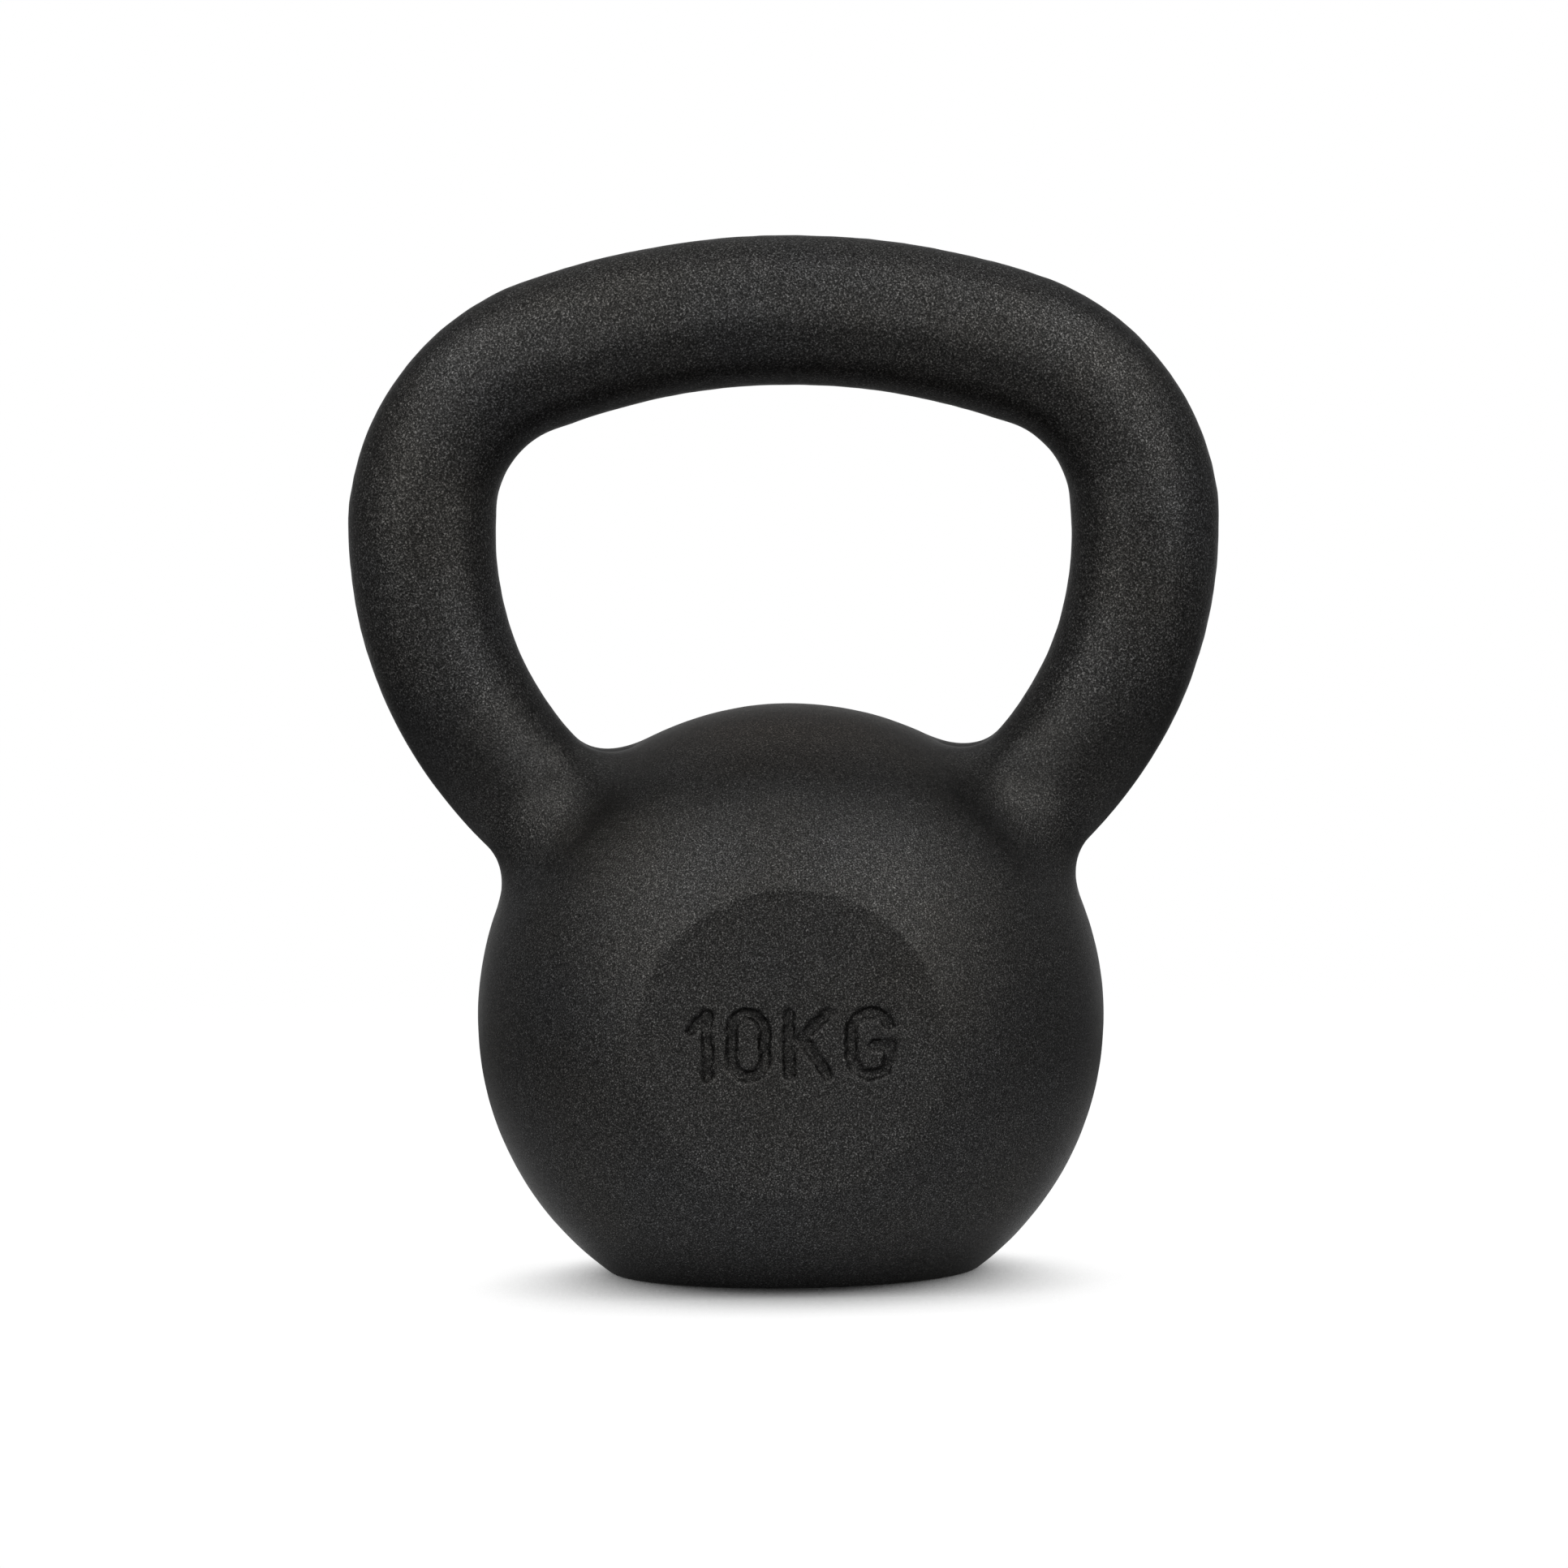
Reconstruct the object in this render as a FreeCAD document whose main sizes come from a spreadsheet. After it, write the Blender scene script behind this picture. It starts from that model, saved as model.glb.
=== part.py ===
import FreeCAD, Part
import math
import os
import Sketcher
from FreeCAD import Rotation, Vector

# A 10 kg one-piece cast-iron kettlebell, in millimetres. +Z is up, the origin is the centre of the base,
# X runs along the grip and -Y is the front, which carries the weight mark.
#
# The iron is one pour. It is kept as six solids that meet face to face at plane joints, named after the
# zones of a kettlebell: the ball, two horns, two corners and the grip. The handle's centreline is a chain
# of tangent arcs in the XZ plane, from the middle of the grip down to the ball, and each zone is the tube
# round one arc.

SHEET = "dimensions"
DIMENSIONS = [
    # alias, value, what it is
    ("ball_diameter", 132.0, "the round body"),
    ("ball_centre_height", 53.4, "above the base"),
    ("face_disc_diameter", 65.4, "the flat discs at the front and the back of the ball"),
    ("face_edge_radius", 1.2, "rounding where a disc meets the ball"),
    ("base_edge_radius", 2.0, "rounding round the flat base"),
    ("root_blend_radius", 10.1, "fillet between a horn and the ball"),
    ("grip_centre_height", 202.75, "the grip's centreline at its middle, above the base"),
    ("grip_bend_radius", 150.0, "the shallow arch of the grip"),
    ("grip_half_angle", 20.1, "degrees of arch on each side of the middle"),
    ("corner_bend_radius", 37.3, "the tight bend at a corner"),
    ("corner_angle", 66.5, "degrees"),
    ("horn_bend_radius", 77.8, "the long bend of a horn"),
    ("horn_angle", 42.0, "degrees, down to the joint with the ball"),
    ("root_angle", 16.0, "degrees more, from that joint into the ball"),
    ("grip_thickness", 31.5, "diameter along the grip"),
    ("corner_thickness", 30.0, "diameter at the middle of a corner"),
    ("horn_thickness", 31.2, "diameter at the top of a horn"),
    ("root_thickness", 29.5, "diameter where a horn meets the ball"),
    ("mark_height", 15.4, "height of the weight mark's characters"),
    ("mark_stroke", 2.3, "width of their strokes"),
    ("mark_gap", 2.8, "space between characters"),
    ("mark_depth", 0.9, "how deep they are sunk in the front disc"),
]
SIDES = {"left": -1, "right": 1}
NEAR = 0.01
# What a sketch calls a curve's points, its own axes and its origin.
START, END, CENTRE = 1, 2, 3
ACROSS, UPRIGHT = -1, -2
ORIGIN = (-1, START)
# The arcs of half the handle, from the middle of the grip down: bend radius and angle.
ARCS = {
    "grip": ("grip_bend_radius", "grip_half_angle"),
    "corner": ("corner_bend_radius", "corner_angle"),
    "horn": ("horn_bend_radius", "horn_angle"),
    "root": ("horn_bend_radius", "root_angle"),
}


def make_sheet(doc):
    sheet = doc.addObject("Spreadsheet::Sheet", SHEET)
    for row, (alias, value, note) in enumerate(DIMENSIONS, start=1):
        sheet.set(f"A{row}", alias)
        sheet.set(f"B{row}", str(value))
        sheet.setAlias(f"B{row}", alias)
        sheet.set(f"C{row}", note)
    doc.recompute()


def cell(alias):
    """The expression that reads one cell of the sheet."""
    return f"{SHEET}.{alias}"


def size(alias):
    return FreeCAD.ActiveDocument.getObject(SHEET).get(alias)


def recompute():
    FreeCAD.ActiveDocument.recompute()


# ---- PartDesign helpers ----


def new_body(label):
    body = FreeCAD.ActiveDocument.addObject("PartDesign::Body", label)
    body.Label = label
    return body


def origin_plane(body, role):
    return next(feature for feature in body.Origin.OriginFeatures if feature.Role == role)


def sketch_on(body, name, role):
    sketch = body.newObject("Sketcher::SketchObject", name)
    sketch.AttachmentSupport = [(origin_plane(body, role), "")]
    sketch.MapMode = "FlatFace"
    return sketch


def constrain(sketch, kind, *where, bound=None):
    """Adds a constraint. A bound one is (starting value, expression that reads the sheet)."""
    if bound is None:
        sketch.addConstraint(Sketcher.Constraint(kind, *where))
        return
    value, expression = bound
    index = sketch.addConstraint(Sketcher.Constraint(kind, *where, value))
    sketch.setExpression(f"Constraints[{index}]", expression)


def length(alias):
    return size(alias), cell(alias)


def angle(alias):
    return math.radians(size(alias)), f"{cell(alias)} * 1 deg"


def mirror(body, feature, role):
    mirrored = body.newObject("PartDesign::Mirrored", f"{feature.Name}_mirrored")
    mirrored.Originals = [feature]
    mirrored.MirrorPlane = (origin_plane(body, role), [""])
    body.Tip = mirrored
    recompute()


def fillet(body, name, edges, radius_alias):
    base = body.Tip
    rounding = body.newObject("PartDesign::Fillet", name)
    rounding.Base = (base, edges)
    rounding.setExpression("Radius", cell(radius_alias))
    recompute()


# ---- the handle's tubes ----


def handle_path(body, side, wanted):
    """Half the handle's centreline in the XZ plane, with only the wanted arc as solid geometry."""
    path = sketch_on(body, f"{body.Name}_path_{side}", "XZ_Plane")
    hand = SIDES[side]
    point = Vector(0, size("grip_centre_height"), 0)
    heading = 0.0
    arcs = []
    for zone, (radius_alias, angle_alias) in ARCS.items():
        radius = size(radius_alias)
        turn = math.radians(size(angle_alias))
        centre = point - radius * Vector(hand * math.sin(heading), math.cos(heading), 0)
        heading += turn
        point = centre + radius * Vector(hand * math.sin(heading), math.cos(heading), 0)
        directions = sorted(math.pi / 2 - hand * bend for bend in (heading - turn, heading))
        arc = Part.ArcOfCircle(Part.Circle(centre, Vector(0, 0, 1), radius), *directions)
        arcs.append(path.addGeometry(arc, zone != wanted))
        constrain(path, "Radius", arcs[-1], bound=length(radius_alias))
        constrain(path, "Angle", arcs[-1], bound=angle(angle_alias))
    # An arc runs anticlockwise, so it starts at its lower end on the right and its upper end on the left.
    upper, lower = (END, START) if hand > 0 else (START, END)
    for above, below in zip(arcs, arcs[1:]):
        constrain(path, "Tangent", above, lower, below, upper)
    constrain(path, "DistanceY", *ORIGIN, arcs[0], upper, bound=length("grip_centre_height"))
    constrain(path, "PointOnObject", arcs[0], upper, UPRIGHT)
    constrain(path, "PointOnObject", arcs[0], CENTRE, UPRIGHT)
    return path


def round_section(body, path, share, thickness):
    """A circle square to the path, at a share of the way along it."""
    section = body.newObject("Sketcher::SketchObject", f"{body.Name}_section")
    section.AttachmentSupport = [(path, "Edge1")]
    section.MapMode = "NormalToEdge"
    section.MapPathParameter = share
    circle = section.addGeometry(Part.Circle(Vector(0, 0, 0), Vector(0, 0, 1), size(thickness) / 2))
    constrain(section, "Coincident", circle, CENTRE, *ORIGIN)
    constrain(section, "Diameter", circle, bound=length(thickness))
    return section


def tube(body, side, zone, thicknesses):
    """A round tube along one arc of the handle, through evenly spaced sections from the top down."""
    path = handle_path(body, side, zone)
    recompute()
    if SIDES[side] > 0:
        thicknesses = thicknesses[::-1]
    shares = [place / max(len(thicknesses) - 1, 1) for place in range(len(thicknesses))]
    sections = [round_section(body, path, share, name) for share, name in zip(shares, thicknesses)]
    recompute()
    pipe = body.newObject("PartDesign::AdditivePipe", f"{body.Name}_{zone}_tube")
    pipe.Profile = sections[0]
    pipe.Spine = (path, ["Edge1"])
    if len(sections) > 1:
        pipe.Transformation = "Multisection"
        pipe.Sections = [(section, [""]) for section in sections[1:]]
    recompute()
    return pipe


def make_grip():
    body = new_body("grip")
    half = tube(body, "right", "grip", ["grip_thickness"])
    mirror(body, half, "YZ_Plane")
    return body


def make_corner(side):
    body = new_body(f"{side}_corner")
    tube(body, side, "corner", ["grip_thickness", "corner_thickness", "horn_thickness"])
    return body


def make_horn(side):
    body = new_body(f"{side}_horn")
    tube(body, side, "horn", ["horn_thickness", "root_thickness"])
    return body


# ---- the ball ----


def ball_profile(body):
    """Half of a circle cut off flat at the base, in the XZ plane, to turn round the Z axis."""
    profile = sketch_on(body, "ball_profile", "XZ_Plane")
    radius = size("ball_diameter") / 2
    height = size("ball_centre_height")
    base_radius = math.sqrt(radius**2 - height**2)
    centre = Vector(0, height, 0)
    low = math.asin(-height / radius)
    arc = profile.addGeometry(
        Part.ArcOfCircle(Part.Circle(centre, Vector(0, 0, 1), radius), low, math.pi / 2)
    )
    base = profile.addGeometry(Part.LineSegment(Vector(base_radius, 0, 0), Vector(0, 0, 0)))
    axis = profile.addGeometry(Part.LineSegment(Vector(0, 0, 0), Vector(0, height + radius, 0)))
    constrain(profile, "Coincident", arc, START, base, START)
    constrain(profile, "Coincident", base, END, axis, START)
    constrain(profile, "Coincident", axis, END, arc, END)
    constrain(profile, "Coincident", axis, START, *ORIGIN)
    constrain(profile, "PointOnObject", axis, END, UPRIGHT)
    constrain(profile, "PointOnObject", base, START, ACROSS)
    constrain(profile, "PointOnObject", arc, CENTRE, UPRIGHT)
    constrain(profile, "Radius", arc, bound=(radius, f"{cell('ball_diameter')} / 2"))
    constrain(profile, "DistanceY", *ORIGIN, arc, CENTRE, bound=length("ball_centre_height"))
    return profile


def turn_ball(body):
    profile = ball_profile(body)
    turned = body.newObject("PartDesign::Revolution", "turned_ball")
    turned.Profile = profile
    turned.ReferenceAxis = (profile, ["V_Axis"])
    turned.Angle = 360
    recompute()


def disc_depth():
    """How far a disc's plane is from the ball's axis."""
    return math.sqrt(size("ball_diameter") ** 2 - size("face_disc_diameter") ** 2) / 2


def flatten_faces(body):
    """Slices the front and the back of the ball off flat, to leave the two discs."""
    waste = sketch_on(body, "face_waste", "XZ_Plane")
    depth = f"sqrt({cell('ball_diameter')}^2 - {cell('face_disc_diameter')}^2) / 2"
    waste.setExpression("AttachmentOffset.Base.z", depth)
    radius = size("ball_diameter") / 2
    circle = waste.addGeometry(
        Part.Circle(Vector(0, size("ball_centre_height"), 0), Vector(0, 0, 1), radius)
    )
    constrain(waste, "PointOnObject", circle, CENTRE, UPRIGHT)
    constrain(waste, "DistanceY", *ORIGIN, circle, CENTRE, bound=length("ball_centre_height"))
    constrain(waste, "Diameter", circle, bound=length("ball_diameter"))
    whole = body.Tip.Shape.Volume
    front = body.newObject("PartDesign::Pocket", "front_face")
    front.Profile = waste
    front.Type = "ThroughAll"
    front.Reversed = True
    recompute()
    if front.Shape.Volume > whole - 1:
        raise SystemExit("front_face cuts nothing")
    mirror(body, front, "XZ_Plane")


def edges_where(shape, test):
    """The names of the edges that pass a test, leaving out the ball's poles, which have no curve."""
    numbered = enumerate(shape.Edges, start=1)
    return [f"Edge{number}" for number, edge in numbered if not edge.Degenerated and test(edge)]


def is_circle(edge, radius):
    return isinstance(edge.Curve, Part.Circle) and abs(edge.Curve.Radius - radius) < NEAR


def round_flats(body):
    """Rounds the edge of the two discs and of the base."""
    disc_radius = size("face_disc_diameter") / 2
    discs = edges_where(body.Tip.Shape, lambda edge: is_circle(edge, disc_radius))
    fillet(body, "face_rounding", discs, "face_edge_radius")
    base_radius = math.sqrt(size("ball_diameter") ** 2 / 4 - size("ball_centre_height") ** 2)
    base = edges_where(body.Tip.Shape, lambda edge: is_circle(edge, base_radius))
    fillet(body, "base_rounding", base, "base_edge_radius")


def blend_roots(body):
    """Fillets the two lines where the horns run out of the ball."""
    centre = Vector(0, 0, size("ball_centre_height"))
    radius = size("ball_diameter") / 2

    def is_seam(edge):
        points = edge.discretize(5)
        on_ball = all(abs((point - centre).Length - radius) < NEAR for point in points)
        above = all(point.z > centre.z for point in points)
        return on_ball and above and not isinstance(edge.Curve, Part.Circle)

    fillet(body, "root_blend", edges_where(body.Tip.Shape, is_seam), "root_blend_radius")


# ---- the weight mark ----


def bend(centre_height, radius, start, end):
    """An arc of a stroke's centreline. The angles are degrees from the right, anticlockwise."""
    return Part.makeCircle(radius, Vector(0, centre_height, 0), Vector(0, 0, 1), start, end)


def line(*points):
    return Part.makePolygon([Vector(x, y, 0) for x, y in points])


def one(right, top):
    return [line((-right, 0.5 * top), (right, top), (right, -top))]


def zero(right, top):
    straight = top - right
    sides = [line((across, -straight), (across, straight)) for across in (-right, right)]
    return [bend(straight, right, 0, 180), bend(-straight, right, 180, 360), *sides]


def letter_k(right, top):
    branch = (-0.3 * right, 0.2 * top)
    return [
        line((-right, top), (-right, -top)),
        line((right, top), (-right, -0.2 * top)),
        line(branch, (right, -top)),
    ]


def letter_g(right, top):
    straight = top - right
    bar = -0.05 * top
    return [
        bend(straight, right, 20, 180),
        line((-right, straight), (-right, -straight)),
        bend(-straight, right, 180, 360),
        line((right, -straight), (right, bar), (0.1 * right, bar)),
    ]


# The characters of the mark in order: how to draw the strokes, and the width as a share of the height.
GLYPHS = [(one, 0.36), (zero, 0.6), (letter_k, 0.66), (letter_g, 0.68)]


def beside(edge, offset):
    """The edge moved sideways: a parallel line, or the same arc at another radius."""
    if isinstance(edge.Curve, Part.Circle):
        circle = Part.Circle(edge.Curve.Center, edge.Curve.Axis, edge.Curve.Radius + offset)
        return Part.Edge(circle, edge.FirstParameter, edge.LastParameter)
    along = edge.tangentAt(edge.FirstParameter)
    moved = edge.copy()
    moved.translate(Vector(along.y, -along.x, 0) * offset)
    return moved


def stroke_areas(edge, half_stroke):
    """The flat areas that a round-ended stroke along an edge covers: a band, and a disc at each end."""
    one_side, other_side = beside(edge, half_stroke), beside(edge, -half_stroke)
    places = (edge.FirstParameter, edge.LastParameter)
    start, end = (Part.makeLine(one_side.valueAt(place), other_side.valueAt(place)) for place in places)
    band = Part.Wire([one_side, end, other_side, start])
    discs = [Part.Wire(Part.makeCircle(half_stroke, edge.valueAt(place))) for place in places]
    return [Part.Face(outline) for outline in (band, *discs)]


def make_mark():
    """The solid that the mark's strokes leave sunk in the front disc."""
    height, stroke, gap = size("mark_height"), size("mark_stroke"), size("mark_gap")
    widths = [share * height for _, share in GLYPHS]
    start = -(sum(widths) + gap * (len(widths) - 1)) / 2
    areas = []
    for (draw, _), width in zip(GLYPHS, widths):
        for centreline in draw((width - stroke) / 2, (height - stroke) / 2):
            for edge in centreline.Edges:
                centred = stroke_areas(edge, stroke / 2)
                areas += [area.translated(Vector(start + width / 2, 0, 0)) for area in centred]
        start += width + gap
    depth = size("mark_depth")
    strokes = areas[0].multiFuse(areas[1:]).removeSplitter().extrude(Vector(0, 0, 2 * depth))
    mark = FreeCAD.ActiveDocument.addObject("Part::Feature", "weight_mark")
    mark.Shape = strokes
    floor = Vector(0, depth - disc_depth(), size("ball_centre_height"))
    mark.Placement = FreeCAD.Placement(floor, Rotation(Vector(1, 0, 0), 90))
    return mark


def make_ball():
    casting = new_body("ball_casting")
    turn_ball(casting)
    flatten_faces(casting)
    round_flats(casting)
    root = tube(casting, "right", "root", ["root_thickness"])
    mirror(casting, root, "YZ_Plane")
    blend_roots(casting)
    ball = FreeCAD.ActiveDocument.addObject("Part::Cut", "ball")
    ball.Label = "ball"
    ball.Base = casting
    ball.Tool = make_mark()
    recompute()
    if ball.Shape.Volume > casting.Shape.Volume - 1:
        raise SystemExit("weight_mark cuts nothing")
    return ball


# ---- the whole kettlebell ----


def make_parts():
    parts = [make_ball(), make_grip()]
    for side in SIDES:
        parts.append(make_horn(side))
        parts.append(make_corner(side))
    return parts


def check(doc, parts):
    for item in doc.Objects:
        if {"Invalid", "Error"} & set(item.State):
            raise SystemExit(f"{item.Name} failed: {item.State}")
    for part in parts:
        shape = part.Shape
        if shape.isNull() or not shape.isValid() or len(shape.Solids) != 1:
            raise SystemExit(f"{part.Label} is not one valid solid")


def write(parts):
    os.makedirs("parts", exist_ok=True)
    for part in parts:
        part.Shape.exportStep(f"parts/{part.Label}.step")


doc = FreeCAD.newDocument("kettlebell")
make_sheet(doc)
parts = make_parts()
doc.recompute()
check(doc, parts)
write(parts)
for part in parts:
    print(f"{part.Label}: {part.Shape.Volume / 1000:.2f} cm3")
print(f"all: {sum(part.Shape.Volume for part in parts) / 1000:.2f} cm3")
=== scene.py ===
import math

import bmesh
import bpy
import numpy as np
from mathutils import Matrix, Vector, noise
from mathutils.bvhtree import BVHTree


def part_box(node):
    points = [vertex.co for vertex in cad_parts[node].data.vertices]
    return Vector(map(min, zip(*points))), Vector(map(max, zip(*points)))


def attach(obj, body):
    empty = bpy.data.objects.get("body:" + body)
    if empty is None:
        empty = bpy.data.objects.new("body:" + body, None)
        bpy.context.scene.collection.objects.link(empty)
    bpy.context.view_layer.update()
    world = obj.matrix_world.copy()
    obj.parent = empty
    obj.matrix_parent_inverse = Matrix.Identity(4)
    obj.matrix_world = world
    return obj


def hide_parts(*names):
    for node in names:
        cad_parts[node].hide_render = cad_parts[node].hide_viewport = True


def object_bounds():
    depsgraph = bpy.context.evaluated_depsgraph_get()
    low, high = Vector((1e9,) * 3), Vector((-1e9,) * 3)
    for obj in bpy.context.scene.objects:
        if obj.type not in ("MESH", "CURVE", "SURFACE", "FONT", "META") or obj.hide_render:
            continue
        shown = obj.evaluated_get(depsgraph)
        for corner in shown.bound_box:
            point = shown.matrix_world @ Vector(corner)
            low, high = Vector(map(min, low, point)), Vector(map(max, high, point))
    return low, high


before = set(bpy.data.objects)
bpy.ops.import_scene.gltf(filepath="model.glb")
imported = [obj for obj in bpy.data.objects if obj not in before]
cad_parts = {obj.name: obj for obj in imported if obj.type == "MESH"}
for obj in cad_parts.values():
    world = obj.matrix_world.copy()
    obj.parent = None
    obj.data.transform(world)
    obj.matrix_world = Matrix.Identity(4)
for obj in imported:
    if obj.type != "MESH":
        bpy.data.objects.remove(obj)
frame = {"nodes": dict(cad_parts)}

# A cast-iron kettlebell in black powder coat. The CAD nodes are one casting, so the skin is made in one go:
# all the nodes become one fine even mesh, which is faired, gets the sunk mark and the unevenness of a sand
# casting, and is then cut at the nodes' own joint planes into one closed piece for each node. In metres.

MM = 0.001
NODES = frame["nodes"]
CAD_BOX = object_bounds()


# ---- meshes as arrays ----


def arrays(mesh):
    """A mesh's vertices and triangles."""
    mesh.calc_loop_triangles()
    points = np.empty(len(mesh.vertices) * 3)
    mesh.vertices.foreach_get("co", points)
    corners = np.empty(len(mesh.loop_triangles) * 3, int)
    mesh.loop_triangles.foreach_get("vertices", corners)
    return points.reshape(-1, 3), corners.reshape(-1, 3)


def edge_array(mesh):
    edges = np.empty(len(mesh.edges) * 2, int)
    mesh.edges.foreach_get("vertices", edges)
    return edges.reshape(-1, 2)


def vertex_normals(mesh):
    normals = np.empty(len(mesh.vertices) * 3)
    mesh.vertex_normals.foreach_get("vector", normals)
    return normals.reshape(-1, 3)


def set_points(mesh, points):
    mesh.vertices.foreach_set("co", points.ravel())
    mesh.update()


def smoothstep(value, low, high):
    share = np.clip((value - low) / (high - low), 0, 1)
    return share * share * (3 - 2 * share)


def neighbour_counts(edges, number):
    return np.maximum(np.bincount(edges.ravel(), minlength=number), 1)


def neighbour_means(points, edges, counts):
    """The mean place of each point's neighbours."""
    first, second = edges[:, 0], edges[:, 1]
    total = np.empty_like(points)
    for axis in range(3):
        total[:, axis] = np.bincount(first, points[second, axis], len(points))
        total[:, axis] += np.bincount(second, points[first, axis], len(points))
    return total / counts[:, None]


# ---- reading the CAD ----


class Ball:
    """The ball's sizes, read from its node."""

    points, _ = arrays(NODES["ball"].data)
    top = points[:, 2].max()
    disc = points[:, 1].max()
    radius = np.abs(points[points[:, 2] < top / 2][:, 0]).max()
    centre = np.array([0, 0, top - radius])
    on_disc = points[points[:, 1] > disc - 0.01 * MM]
    disc_radius = np.linalg.norm(on_disc - [0, disc, centre[2]], axis=1).max()
    on_base = points[points[:, 2] < 0.01 * MM]
    base_radius = np.linalg.norm(on_base[:, :2], axis=1).max()


def across_disc(points):
    """How far each point is from the axis of the front disc."""
    return np.linalg.norm(points[:, [0, 2]] - Ball.centre[[0, 2]], axis=1)


def mark_box():
    """The lowest and highest corner of the sunk mark, from the vertices on its floor."""
    points = Ball.points
    sunk = (points[:, 1] > -Ball.disc + 0.3 * MM) & (points[:, 1] < -Ball.disc + 3 * MM)
    found = points[sunk & (across_disc(points) < Ball.disc_radius * 0.8)]
    return found.min(0), found.max(0)


def flat_caps(node):
    """(centre, unit normal) of the two flat ends of a handle node, which are its largest flat faces."""
    points, triangles = arrays(NODES[node].data)
    corners = points[triangles]
    crosses = np.cross(corners[:, 1] - corners[:, 0], corners[:, 2] - corners[:, 0]) / 2
    areas = np.linalg.norm(crosses, axis=1)
    directions = [tuple(row) for row in np.round(crosses / np.maximum(areas, 1e-15)[:, None], 3)]
    totals = {}
    for direction, area in zip(directions, areas):
        totals[direction] = totals.get(direction, 0) + area
    caps = []
    for direction in sorted(totals, key=totals.get, reverse=True)[:2]:
        rim = np.unique(triangles[[other == direction for other in directions]])
        centre = (points[rim].max(0) + points[rim].min(0)) / 2
        caps.append((Vector(centre), Vector(direction).normalized()))
    return caps


# ---- the skin as one mesh ----

VOXEL = 1.05 * MM
PLUG_THICKNESS = 8 * MM
FAIR_ROUNDS = 25
FAIR_STEPS = (0.6, -0.62)
ROOT_PLACE = (0.72, 0, 0.70)  # the middle of a horn's root, in radii from the ball's centre
ROOT_REACH = 40 * MM
ROOT_ROUNDS = 600


def plug_mesh(bm):
    """A plate that closes the sunk mark flush with the front disc, so the mark can be carved finely later."""
    centre = Vector((0, -Ball.disc + PLUG_THICKNESS / 2, Ball.centre[2]))
    turn = Matrix.Translation(centre) @ Matrix.Rotation(math.pi / 2, 4, "X")
    radius = Ball.disc_radius * 0.9
    bmesh.ops.create_cone(
        bm, cap_ends=True, segments=96, radius1=radius, radius2=radius, depth=PLUG_THICKNESS, matrix=turn
    )


def even_mesh():
    """All the nodes and the plug as one closed mesh of even quads."""
    bm = bmesh.new()
    for node in NODES.values():
        bm.from_mesh(node.data)
    plug_mesh(bm)
    joined = bpy.data.meshes.new("joined")
    bm.to_mesh(joined)
    bm.free()
    carrier = bpy.data.objects.new("joined", joined)
    bpy.context.scene.collection.objects.link(carrier)
    remesh = carrier.modifiers.new("even", "REMESH")
    remesh.mode = "VOXEL"
    remesh.voxel_size = VOXEL
    depsgraph = bpy.context.evaluated_depsgraph_get()
    even = bpy.data.meshes.new_from_object(carrier.evaluated_get(depsgraph))
    bpy.data.objects.remove(carrier)
    return even


def refine(mesh):
    """Splits the faces of the front disc in four, and those round the mark in four again."""
    low, high = mark_box()
    pad = 1.5 * MM

    def on_disc(centre):
        across = math.hypot(centre.x, centre.z - Ball.centre[2])
        return centre.y < -Ball.disc + 1.5 * MM and across < Ball.disc_radius + 2 * MM

    def round_mark(centre):
        inside_x = low[0] - pad < centre.x < high[0] + pad
        inside_z = low[2] - pad < centre.z < high[2] + pad
        return on_disc(centre) and inside_x and inside_z

    bm = bmesh.new()
    bm.from_mesh(mesh)
    for wanted in (on_disc, round_mark):
        edges = {edge for face in bm.faces if wanted(face.calc_center_median()) for edge in face.edges}
        bmesh.ops.subdivide_edges(bm, edges=list(edges), cuts=1, use_grid_fill=True)
    bm.to_mesh(mesh)
    bm.free()


def onto_cad(points):
    """Each point moved onto the nearest CAD surface, and how surely it is on the ball, from 0 to 1.

    The facets of the ball become round, and the front disc stays plain, without the mark.
    """
    cad = bmesh.new()
    for node in NODES.values():
        cad.from_mesh(node.data)
    tree = BVHTree.FromBMesh(cad)
    cad.free()
    moved = np.array([tree.find_nearest(point)[0] for point in points])
    on_front = (points[:, 1] < -Ball.disc + 0.5 * MM) & (across_disc(points) < Ball.disc_radius * 0.95)
    moved[on_front] = points[on_front]
    moved[on_front, 1] = -Ball.disc
    from_centre = moved - Ball.centre
    distance = np.linalg.norm(from_centre, axis=1)
    off = distance - Ball.radius
    on_ball = 1 - smoothstep(np.abs(off), 0.06 * MM, 0.18 * MM)
    return moved - from_centre / distance[:, None] * (off * on_ball)[:, None], on_ball


def fair(points, edges, freedom):
    """Evens out the CAD's facets without shrinking: a smoothing step, then a slightly larger step back."""
    counts = neighbour_counts(edges, len(points))
    for _ in range(FAIR_ROUNDS):
        for step in FAIR_STEPS:
            pull = neighbour_means(points, edges, counts) - points
            points = points + pull * (step * freedom)[:, None]
    return points


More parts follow.
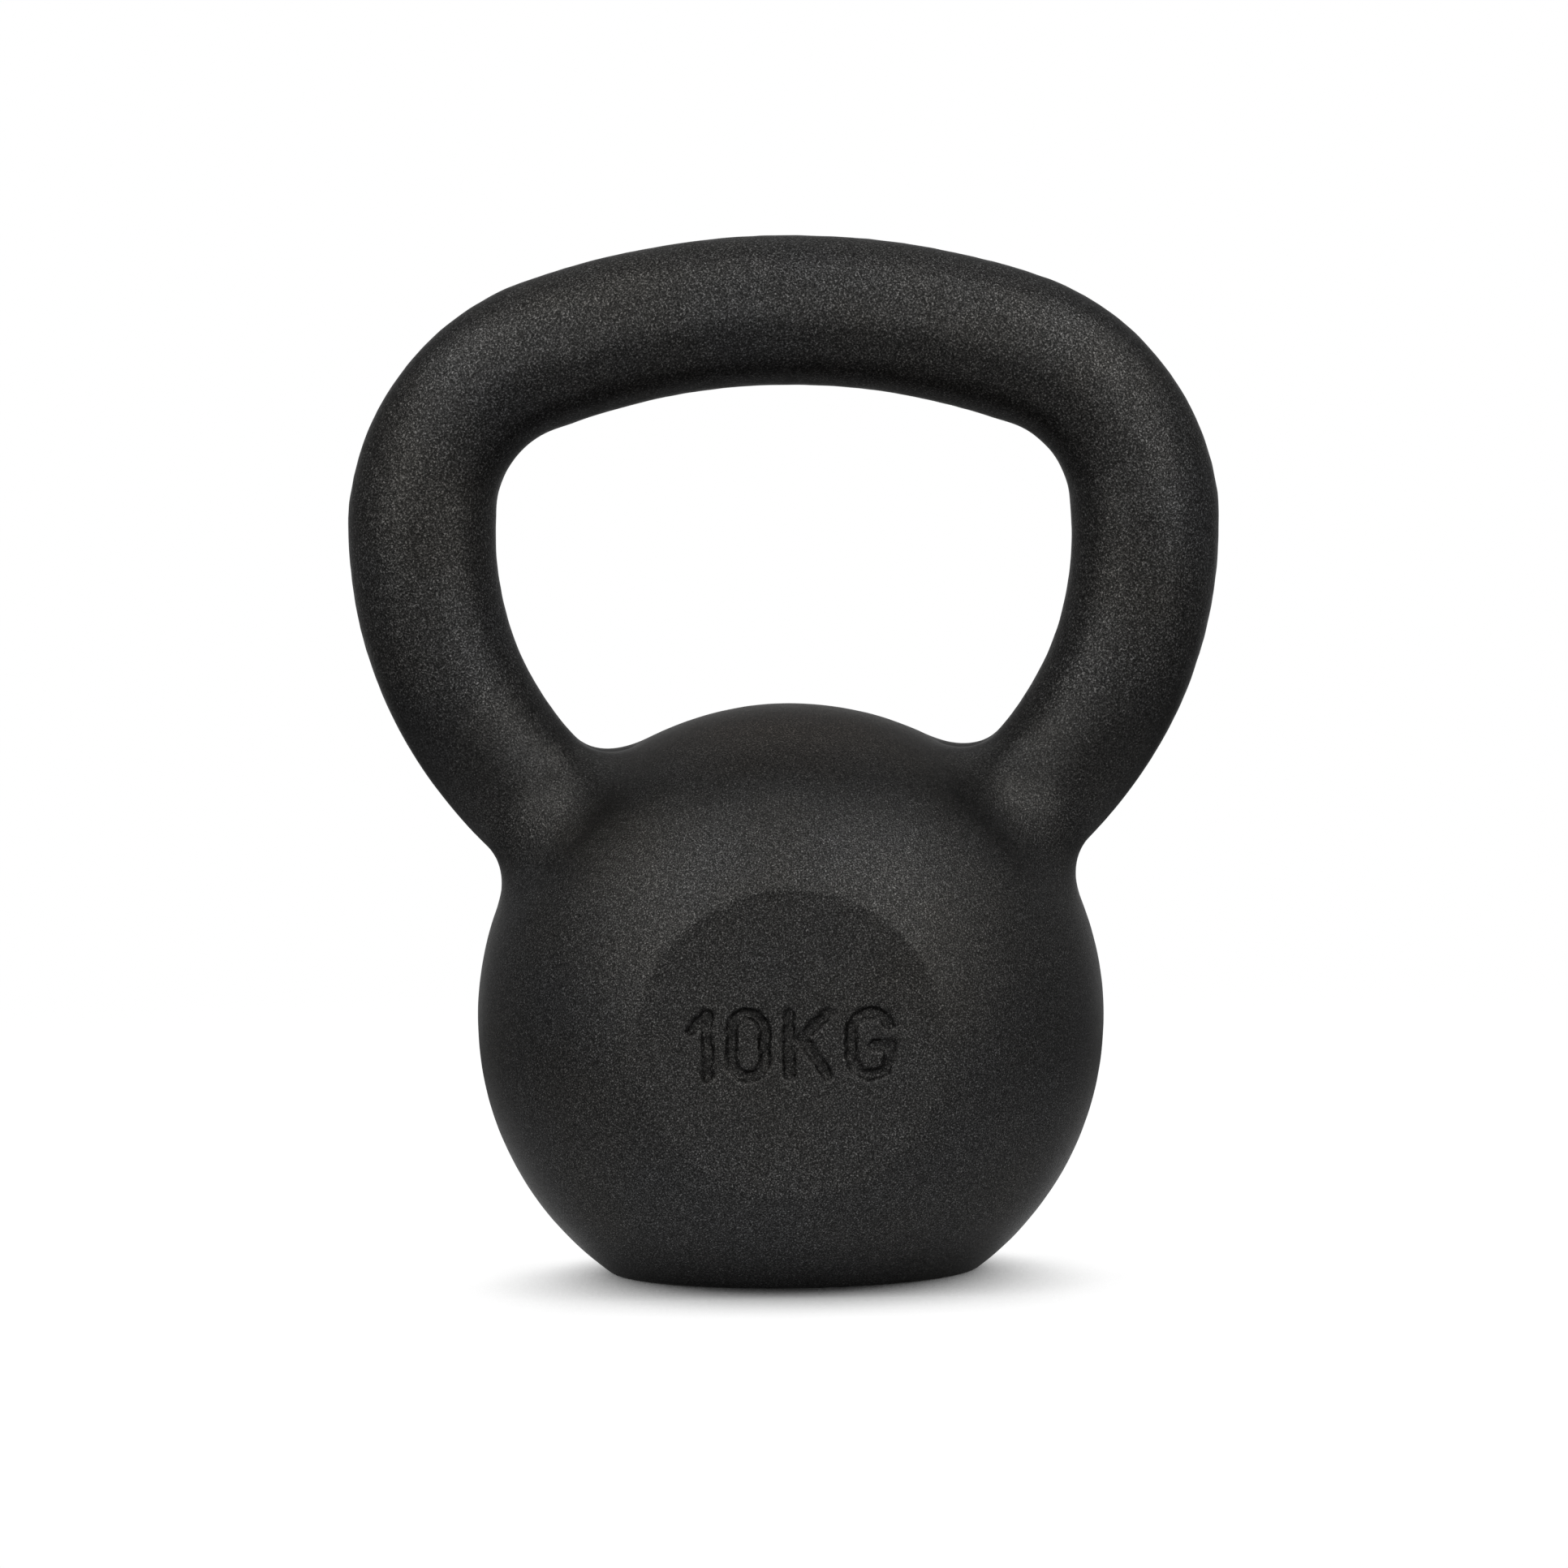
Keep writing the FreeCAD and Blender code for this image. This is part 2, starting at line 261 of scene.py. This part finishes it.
def fill_root(points, normals, edges, side):
    """Widens the blend between a horn and the ball at the front and back: a film that only moves outwards."""
    root = np.array([side, 1, 1]) * ROOT_PLACE * Ball.radius + Ball.centre
    weight = 1 - smoothstep(np.linalg.norm(points - root, axis=1), 0.6 * ROOT_REACH, ROOT_REACH)
    weight *= smoothstep(np.abs(points[:, 1]), 0.5 * MM, 7 * MM)
    kept = np.flatnonzero(weight > 0)
    number = np.full(len(points), -1)
    number[kept] = np.arange(len(kept))
    inner = number[edges]
    inner = inner[(inner >= 0).all(axis=1)]
    counts = neighbour_counts(inner, len(kept))
    start, outwards = points[kept], normals[kept]
    film = start.copy()
    step = 0.6 * weight[kept]
    for _ in range(ROOT_ROUNDS):
        film += (neighbour_means(film, inner, counts) - film) * step[:, None]
        sunk = np.minimum(((film - start) * outwards).sum(axis=1), 0)
        film -= outwards * sunk[:, None]
    points[kept] = film


def skin_mesh():
    """The whole casting's skin, fair and smooth, with a plain front disc."""
    mesh = even_mesh()
    refine(mesh)
    edges = edge_array(mesh)
    points, on_ball = onto_cad(arrays(mesh)[0])
    at_disc = smoothstep(np.abs(points[:, 1]), Ball.disc - 2 * MM, Ball.disc - 1 * MM)
    at_base = 1 - smoothstep(points[:, 2], 1 * MM, 2 * MM)
    points = fair(points, edges, 1 - np.maximum(on_ball, np.maximum(at_disc, at_base)))
    set_points(mesh, points)
    normals = vertex_normals(mesh)
    for side in (-1, 1):
        fill_root(points, normals, edges, side)
    set_points(mesh, points)
    return mesh


# ---- the sunk mark and the casting's unevenness ----

# The radius and number of points of each ring that the mark's depth is averaged over.
MARK_RINGS = ((0.28 * MM, 6), (0.55 * MM, 10))
MARK_DEPTHS = (1.2, 0.4)  # the middle and the spread of the mark's depth, in CAD depths
MARK_SEED = 7  # without a seed, noise_vector's offsets come from the clock
MARK_WOBBLE = 0.38  # in millimetres, as are the three below
BROAD_WAVES = 0.085
BALL_DIMPLES = 0.03
HANDLE_DIMPLES = 0.06


def ring_offsets():
    """A point and two rings round it, in the plane of the front disc."""
    offsets = [Vector()]
    for radius, count in MARK_RINGS:
        for turn in range(count):
            angle = 2 * math.pi * turn / count
            offsets.append(Vector((radius * math.cos(angle), 0, radius * math.sin(angle))))
    return offsets


def carve_mark(points):
    """Sinks the mark into the front disc: the CAD's own depth, averaged over a small patch to soften it."""
    noise.seed_set(MARK_SEED)
    tree = BVHTree.FromObject(NODES["ball"], bpy.context.evaluated_depsgraph_get())
    low, high = mark_box()
    pad = 1.2 * MM
    inside = points[:, 1] < -Ball.disc + 0.1 * MM
    for axis in (0, 2):
        inside &= (points[:, axis] > low[axis] - pad) & (points[:, axis] < high[axis] + pad)
    offsets = ring_offsets()
    inwards = Vector((0, 1, 0))
    for index in np.flatnonzero(inside):
        point = Vector(points[index])
        ragged = noise.noise_vector(point / (1.5 * MM)) * MARK_WOBBLE * MM
        depths = []
        for offset in offsets:
            start = point + offset + ragged
            start.y = -Ball.disc - 5 * MM
            depths.append(tree.ray_cast(start, inwards)[0].y + Ball.disc)
        uneven = MARK_DEPTHS[0] + MARK_DEPTHS[1] * noise.noise(point / (2.2 * MM))
        points[index, 1] += sum(depths) / len(depths) * uneven


def unevenness(point):
    """How far a sand casting's skin stands off its pattern here, under the coat: more on the handle."""
    broad = noise.noise(point / (14 * MM))
    dimples = noise.noise(point / (3.2 * MM) + Vector((7, 3, 5)))
    return (BROAD_WAVES * broad + (HANDLE_DIMPLES if point.z > Ball.top else BALL_DIMPLES) * dimples) * MM


def roughen(mesh):
    """Moves the skin along its normals, and keeps it in the CAD's box and on the floor."""
    points, _ = arrays(mesh)
    offsets = np.array([unevenness(Vector(point)) for point in points])
    offsets *= smoothstep(points[:, 2], 0.2 * MM, 3 * MM)
    points += vertex_normals(mesh) * offsets[:, None]
    set_points(mesh, np.clip(points, CAD_BOX[0], CAD_BOX[1]))


# ---- the skin cut into pieces ----


def cut_at_joints(bm):
    """Cuts the skin at each plane joint, only round the handle there, and opens it along the cut."""
    normal_layer = bm.verts.layers.float_vector.new("skin_normal")
    cuts = []
    joints = [cap for node in ("grip", "left_horn", "right_horn") for cap in flat_caps(node)]
    for centre, normal in joints:
        near = [face for face in bm.faces if (face.calc_center_median() - centre).length < 24 * MM]
        near = [face for face in near if abs((face.calc_center_median() - centre).dot(normal)) < 4 * MM]
        parts = list({part for face in near for part in (*face.verts, *face.edges)}) + near
        cut = bmesh.ops.bisect_plane(bm, geom=parts, dist=1e-8, plane_co=centre, plane_no=normal)
        cuts += [part for part in cut["geom_cut"] if isinstance(part, bmesh.types.BMEdge)]
    bm.normal_update()
    for vert in bm.verts:
        vert[normal_layer] = vert.normal
    bmesh.ops.split_edges(bm, edges=cuts)


def islands(bm):
    """The connected groups of faces."""
    left = set(bm.faces)
    for first in list(bm.faces):
        if first not in left:
            continue
        left.discard(first)
        group, waiting = [], [first]
        while waiting:
            face = waiting.pop()
            group.append(face)
            for edge in face.edges:
                for other in edge.link_faces:
                    if other in left:
                        left.discard(other)
                        waiting.append(other)
        yield group


def node_of(faces):
    """The CAD node whose box is centred nearest to these faces' own box."""
    points = [vert.co for face in faces for vert in face.verts]
    low, high = (Vector(map(pick, zip(*points))) for pick in (min, max))
    middle = (low + high) / 2
    return min(NODES, key=lambda name: (sum(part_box(name), Vector()) / 2 - middle).length)


def capped_piece(whole, faces, name):
    """A closed mesh of these faces of the whole skin, with the whole skin's normals, so no seam shows."""
    kept = {face.index for face in faces}
    bm = whole.copy()
    bm.faces.ensure_lookup_table()
    bmesh.ops.delete(bm, geom=[face for face in bm.faces if face.index not in kept], context="FACES")
    rims = [edge for edge in bm.edges if edge.is_boundary]
    caps = bmesh.ops.holes_fill(bm, edges=rims, sides=0)["faces"]
    caps = set(bmesh.ops.triangulate(bm, faces=caps)["faces"])
    bmesh.ops.recalc_face_normals(bm, faces=bm.faces)
    normal_layer = bm.verts.layers.float_vector["skin_normal"]
    normals = []
    for face in bm.faces:
        face.smooth = True
        for loop in face.loops:
            normal = face.normal if face in caps else loop.vert[normal_layer].normalized()
            normals.append(tuple(normal))
    bm.verts.layers.float_vector.remove(normal_layer)
    mesh = bpy.data.meshes.new(name)
    bm.to_mesh(mesh)
    bm.free()
    mesh.normals_split_custom_set(normals)
    return mesh


def make_pieces(material):
    """One closed piece for each CAD node."""
    skin = skin_mesh()
    points, _ = arrays(skin)
    carve_mark(points)
    set_points(skin, points)
    roughen(skin)
    whole = bmesh.new()
    whole.from_mesh(skin)
    cut_at_joints(whole)
    whole.faces.index_update()
    for faces in islands(whole):
        node = node_of(faces)
        piece = bpy.data.objects.new(f"cast_{node}", capped_piece(whole, faces, f"cast_{node}"))
        bpy.context.scene.collection.objects.link(piece)
        piece.data.materials.append(material)
        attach(piece, "root")
        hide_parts(node)
    whole.free()
    bpy.data.meshes.remove(skin)


# ---- shader nodes ----


class Graph:
    """Short ways to add nodes to a material's or the world's node tree."""

    def __init__(self, tree):
        self.nodes, self.links = tree.nodes, tree.links

    def feed(self, socket, value):
        """Links an output to this input, or sets it to a value."""
        if isinstance(value, bpy.types.NodeSocket):
            self.links.new(value, socket)
        else:
            socket.default_value = value

    def add(self, kind, inputs=(), output=0, **settings):
        """The output of a new node that has these (name, value) inputs and these settings."""
        node = self.nodes.new("ShaderNode" + kind)
        for name, setting in settings.items():
            setattr(node, name, setting)
        for name, value in inputs:
            self.feed(node.inputs[name], value)
        return node.outputs[output]

    def place(self):
        return self.add("TexCoord", output="Object")

    def noise(self, place, scale, detail, roughness):
        inputs = (("Vector", place), ("Scale", scale / MM), ("Detail", detail), ("Roughness", roughness))
        return self.add("TexNoise", inputs, "Fac")

    def distance(self, place, point):
        return self.add("VectorMath", ((0, place), (1, point)), "Value", operation="DISTANCE")

    def map_range(self, value, before, after, kind="LINEAR"):
        """The value, with the range before taken to the range after."""
        inputs = [("Value", value), ("From Min", before[0]), ("From Max", before[1])]
        inputs += [("To Min", after[0]), ("To Max", after[1])]
        return self.add("MapRange", inputs, "Result", interpolation_type=kind)

    def mix(self, kind, factor, first, second, blend="MIX"):
        """A mix of two numbers, kind FLOAT, or of two colours, kind RGBA."""
        node = self.nodes.new("ShaderNodeMix")
        node.data_type = kind
        node.blend_type = blend
        sockets = [socket for socket in node.inputs if socket.enabled]
        for socket, value in zip(sockets, (factor, first, second)):
            self.feed(socket, value)
        return next(socket for socket in node.outputs if socket.enabled)

    def ramp(self, value, stops):
        """The colour at this value, between (position, colour) stops."""
        node = self.nodes.new("ShaderNodeValToRGB")
        elements = node.color_ramp.elements
        while len(elements) < len(stops):
            elements.new(1.0)
        for element, (position, colour) in zip(elements, stops):
            element.position = position
            element.color = (*colour, 1)
        self.feed(node.inputs["Fac"], value)
        return node.outputs["Color"]

    def mix_shaders(self, factor, first, second):
        return self.add("MixShader", ((0, factor), (1, first), (2, second)), "Shader")

    def by_ray(self, seen, unseen):
        """One shader for what the camera sees, and one for the light that reaches the object."""
        return self.mix_shaders(self.add("LightPath", output="Is Camera Ray"), unseen, seen)

    def glow(self, strength):
        return self.add("Emission", (("Strength", strength),))


# ---- the coat ----

COAT_METAL = 0.88
COAT_ROUGHNESS = 0.28
EDGE_TINT = 0.48
BALL_GRAINS = 3.1  # per millimetre, as are the two below
HANDLE_GRAINS = 2.5
PATCHES = 0.03
GRAIN_FINENESS = 0.75
GRAIN_DEPTH = 0.13 * MM
GRAIN_TURN = (0.6, 0.4, 0.9)  # off the axes, so that no flat face shows the noise's own lattice
HANDLE_HEIGHTS = (95 * MM, 125 * MM)  # where the ball's grain gives way to the handle's
# (height of the grain, how bright the coat is there)
SHADES = ((0.37, 0.012), (0.49, 0.028), (0.60, 0.072), (0.72, 0.25))
# (noise, tint of the coat there)
PATCH_TINTS = ((0.35, (0.98, 0.985, 1.0)), (0.68, (1.0, 0.975, 0.935)))
TOP_TINT = (1.0, 0.90, 0.82)
TOP_REACH = (22 * MM, 42 * MM)
# painted shade in the sunk mark's recess: how dark the coat is painted there, and between which depths
MARK_PAINTED_SHADE = 0.68
MARK_PAINTED_SHADE_DEPTHS = (0.25 * MM, 0.9 * MM)


def top_tint(graph, place):
    """A warmer tint round the top of the ball."""
    from_top = graph.distance(place, (0, 0, Ball.top))
    fade = graph.map_range(from_top, TOP_REACH, (0.0, 1.0))
    return graph.ramp(fade, ((0.0, TOP_TINT), (1.0, (1, 1, 1))))


def painted_mark_shade(graph, place):
    """Painted shade in the sunk mark: darker where the front disc is sunk, and 1 elsewhere."""
    front = -Ball.disc
    depth = graph.add("SeparateXYZ", (("Vector", place),), "Y")
    # painted shade: the deeper the disc is sunk, the darker the coat
    sunk = graph.map_range(depth, [front + limit for limit in MARK_PAINTED_SHADE_DEPTHS], (1.0, MARK_PAINTED_SHADE))
    from_disc = graph.distance(place, (0, front, Ball.centre[2]))
    inside = (Ball.disc_radius - 6 * MM, Ball.disc_radius - 3 * MM)
    return graph.mix("FLOAT", graph.map_range(from_disc, inside, (1.0, 0.0)), 1.0, sunk)


def powder_coat():
    """Black powder coat on sand-cast iron: fine glinting grain, coarser on the handle, on a patchy black."""
    material = bpy.data.materials.new("powder_coat")
    material.use_nodes = True
    graph = Graph(material.node_tree)
    place = graph.place()
    turned = graph.add("Mapping", (("Vector", place), ("Rotation", GRAIN_TURN)))
    height = graph.add("SeparateXYZ", (("Vector", place),), "Z")
    on_handle = graph.map_range(height, HANDLE_HEIGHTS, (0.0, 1.0))
    fine = graph.noise(turned, BALL_GRAINS, 2.0, GRAIN_FINENESS)
    coarse = graph.noise(turned, HANDLE_GRAINS, 2.0, GRAIN_FINENESS)
    grain = graph.mix("FLOAT", on_handle, fine, coarse)
    colour = graph.ramp(grain, [(position, (shade, shade, shade)) for position, shade in SHADES])
    patches = graph.ramp(graph.noise(turned, PATCHES, 3.0, 0.5), PATCH_TINTS)
    # the patches and the top tint are the coat's colour; the mark's darkening is painted shade
    for tint in (patches, top_tint(graph, place), painted_mark_shade(graph, place)):
        colour = graph.mix("RGBA", 1.0, colour, tint, "MULTIPLY")
    bump = graph.add("Bump", (("Distance", GRAIN_DEPTH), ("Strength", 1.0), ("Height", grain)), "Normal")
    shader = graph.nodes["Principled BSDF"]
    shader.inputs["Metallic"].default_value = COAT_METAL
    shader.inputs["Roughness"].default_value = COAT_ROUGHNESS
    shader.inputs["Specular Tint"].default_value = (EDGE_TINT, EDGE_TINT, EDGE_TINT, 1)
    graph.feed(shader.inputs["Base Color"], colour)
    graph.feed(shader.inputs["Normal"], bump)
    return material


# ---- the studio ----

ROOM = 0.43
WHITE = (1, 1, 1, 1)
FLOOR_RADIUS = 0.62
FLOOR_FADE = (0.30, 0.60)  # from the floor's middle, as are the two below
GLOW_FADE = (0.12, 0.40)
CONTACT_FADE = (Ball.base_radius, Ball.base_radius + 14 * MM)
FLOOR_GLOW = 0.56
FLOOR_WHITE = 1.02
# painted contact shadow: the floor's glow toward the object falls to this share at the base's edge
CONTACT_GLOW = 0.1
# the painted contact shadow that the camera sees: the floor's glow follows ambient occlusion
SHADOW_REACH = 0.07
SHADOW_TILT = 1.0
SHADOW_RANGE = (0.17, 0.65)
WARM = (1.0, 0.985, 0.95)
LIGHT_DISTANCE = 1.4
# name, azimuth, elevation, size, watts
SOFTBOXES = (
    ("top", 0, 80, (0.8, 0.5), 2.0),
    ("top_back", 180, 50, (1.2, 0.6), 1.5),
    ("front", 0, 14, (0.7, 0.7), 1.75),
    ("front_high", 0, 38, (0.8, 0.4), 0.5),
)
# The same, one on the left and one on the right.
SOFTBOX_PAIRS = (
    ("key", 40, 48, (0.3, 0.3), 1.3),
    ("low", 45, 12, (0.6, 0.7), 2.5),
    ("fill", 62, 42, (0.5, 0.5), 0.7),
    ("side", 85, 50, (0.6, 0.6), 2.0),
)
RIGHT_GAIN = 1.1


def floor_material():
    """Glows white, with a painted contact shadow leaning to the front, and glows dimmer to the object."""
    material = bpy.data.materials.new("floor")
    material.use_nodes = True
    graph = Graph(material.node_tree)
    graph.nodes.remove(graph.nodes["Principled BSDF"])
    out = graph.add("VectorMath", ((0, graph.place()),), "Value", operation="LENGTH")
    tilt = graph.add("CombineXYZ", (("Y", SHADOW_TILT), ("Z", 1.0)))
    inputs = (("Distance", SHADOW_REACH), ("Normal", tilt))
    openness = graph.add("AmbientOcclusion", inputs, "AO", samples=16)
    # painted contact shadow: the floor's white glow dimmed by ambient occlusion
    seen = graph.glow(graph.map_range(openness, SHADOW_RANGE, (0.0, FLOOR_WHITE)))
    # the floor glows toward the object in place of light bouncing off it
    painted_floor_light = graph.map_range(out, GLOW_FADE, (FLOOR_GLOW, 0.0))
    # painted contact shadow round the base, in the glow that reaches the object
    contact = graph.map_range(out, CONTACT_FADE, (CONTACT_GLOW, 1.0))
    unseen = graph.glow(graph.add("Math", ((0, painted_floor_light), (1, contact)), operation="MULTIPLY"))
    fade = graph.map_range(out, FLOOR_FADE, (0.0, 1.0), "SMOOTHSTEP")
    surface = graph.mix_shaders(fade, graph.by_ray(seen, unseen), graph.add("BsdfTransparent"))
    graph.feed(graph.nodes["Material Output"].inputs["Surface"], surface)
    return material


def make_floor():
    """A white floor that fades into the white round it."""
    bpy.ops.mesh.primitive_circle_add(vertices=96, radius=FLOOR_RADIUS, fill_type="NGON")
    floor = bpy.context.object
    floor.name = "floor"
    floor.data.materials.append(floor_material())


def make_world():
    """White to look at, and a dim room to the object."""
    world = bpy.data.worlds.new("studio")
    bpy.context.scene.world = world
    world.use_nodes = True
    graph = Graph(world.node_tree)
    graph.nodes.remove(graph.nodes["Background"])
    white = graph.add("Background", (("Color", WHITE), ("Strength", 1.0)))
    room = graph.add("Background", (("Color", WHITE), ("Strength", ROOM)))
    graph.feed(graph.nodes["World Output"].inputs["Surface"], graph.by_ray(white, room))


def make_softbox(name, azimuth, elevation, size, watts):
    """A rectangular softbox turned to the object. Azimuth 0 is in front, and positive is to the right."""
    azimuth, elevation = math.radians(azimuth), math.radians(elevation)
    middle = Vector((0, 0, CAD_BOX[1][2] / 2))
    out = Vector((
        math.cos(elevation) * math.sin(azimuth),
        -math.cos(elevation) * math.cos(azimuth),
        math.sin(elevation),
    ))
    light = bpy.data.lights.new(name, "AREA")
    light.shape = "RECTANGLE"
    light.size, light.size_y = size
    light.energy = watts
    light.color = WARM
    lamp = bpy.data.objects.new(name, light)
    bpy.context.scene.collection.objects.link(lamp)
    lamp.visible_camera = False
    lamp.location = middle + out * LIGHT_DISTANCE
    lamp.rotation_mode = "QUATERNION"
    lamp.rotation_quaternion = (-out).to_track_quat("-Z", "Y")


def make_lights():
    for softbox in SOFTBOXES:
        make_softbox(*softbox)
    for name, azimuth, elevation, size, watts in SOFTBOX_PAIRS:
        make_softbox(name + "_left", -azimuth, elevation, size, watts)
        make_softbox(name + "_right", azimuth, elevation, size, watts * RIGHT_GAIN)


def make_camera():
    """A long lens, a little above the object and turned a little about its own axis."""
    distance = 5.5
    elevation = math.radians(5.5)
    roll = math.radians(-0.84)
    seen_width = 0.3304
    aim = Vector((-0.0007, 0, 0.1026))
    lens = bpy.data.cameras.new("camera")
    lens.sensor_width = 36
    lens.lens = lens.sensor_width * distance / seen_width
    lens.clip_start = 0.1
    camera = bpy.data.objects.new("camera", lens)
    bpy.context.scene.collection.objects.link(camera)
    back = Vector((0, -math.cos(elevation), math.sin(elevation)))
    camera.location = aim + back * distance
    camera.rotation_mode = "QUATERNION"
    turn = (-back).to_track_quat("-Z", "Y").to_matrix().to_4x4() @ Matrix.Rotation(roll, 4, "Z")
    camera.rotation_quaternion = turn.to_quaternion()
    bpy.context.scene.camera = camera


make_pieces(powder_coat())
make_floor()
make_world()
make_lights()
make_camera()
bpy.context.scene.view_settings.view_transform = "Standard"
